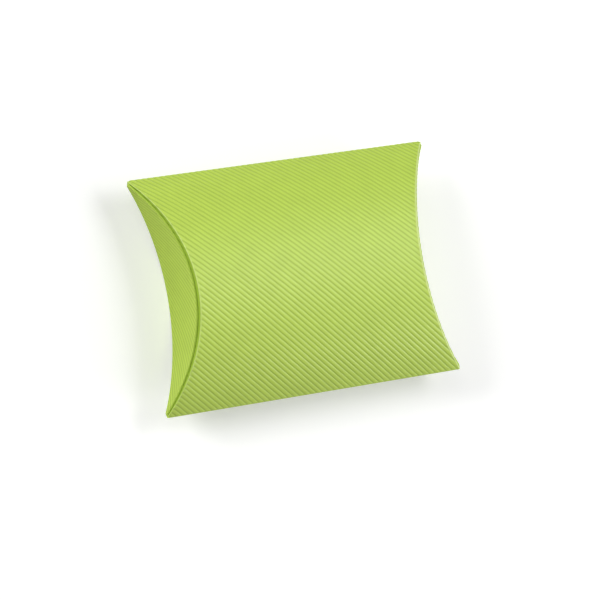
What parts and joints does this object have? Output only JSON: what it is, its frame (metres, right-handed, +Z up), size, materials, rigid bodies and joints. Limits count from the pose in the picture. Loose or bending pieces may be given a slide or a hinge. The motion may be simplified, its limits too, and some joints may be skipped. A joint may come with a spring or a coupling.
{
  "type": "pillow box",
  "caption": "Pillow-shaped gift box of lime-green embossed card, with a convex front and back and concave tuck flaps hinged on curved creases at each end.",
  "frame": {"origin": "under the middle of the box, on the table that the crown of the back panel lies on", "axes": "+X along the side folds, +Y across the box towards the seam fold, +Z up, out of the front panel"},
  "size_m": [0.0992, 0.073, 0.025],
  "materials": {
    "card": "matt lime-green card, embossed with fine diagonal ribs",
    "glue": "dried white glue"
  },
  "bodies": {
    "sleeve": {"front_panel": "card", "back_panel": "card", "side_fold": "card", "seam_fold": "card", "glue_tab": "card", "glue_line": "glue", "left_inner_crease": "card", "left_outer_crease": "card", "right_inner_crease": "card", "right_outer_crease": "card"},
    "left_inner_flap": {"left_inner_flap": "card"},
    "left_outer_flap": {"left_outer_flap": "card"},
    "right_inner_flap": {"right_inner_flap": "card"},
    "right_outer_flap": {"right_outer_flap": "card"}
  },
  "joints": [
    {"name": "left_outer_hinge", "type": "hinge", "parent": "sleeve", "child": "left_outer_flap", "pos_m": [-0.03833, 0, 0], "axis": [0, -1, 0], "range_deg": [0, 65], "deforming": ["left_outer_crease"]},
    {"name": "left_inner_hinge", "type": "hinge", "parent": "sleeve", "child": "left_inner_flap", "pos_m": [-0.0375, 0, 0.025], "axis": [0, 1, 0], "range_deg": [0, 52], "deforming": ["left_inner_crease"]},
    {"name": "right_outer_hinge", "type": "hinge", "parent": "sleeve", "child": "right_outer_flap", "pos_m": [0.03833, 0, 0], "axis": [0, 1, 0], "range_deg": [0, 65], "deforming": ["right_outer_crease"]},
    {"name": "right_inner_hinge", "type": "hinge", "parent": "sleeve", "child": "right_inner_flap", "pos_m": [0.0375, 0, 0.025], "axis": [0, -1, 0], "range_deg": [0, 52], "deforming": ["right_inner_crease"]}
  ],
  "couplings": [
    {"joint": "left_inner_hinge", "follows": "left_outer_hinge", "ratio": 0.8},
    {"joint": "right_inner_hinge", "follows": "right_outer_hinge", "ratio": 0.8}
  ]
}
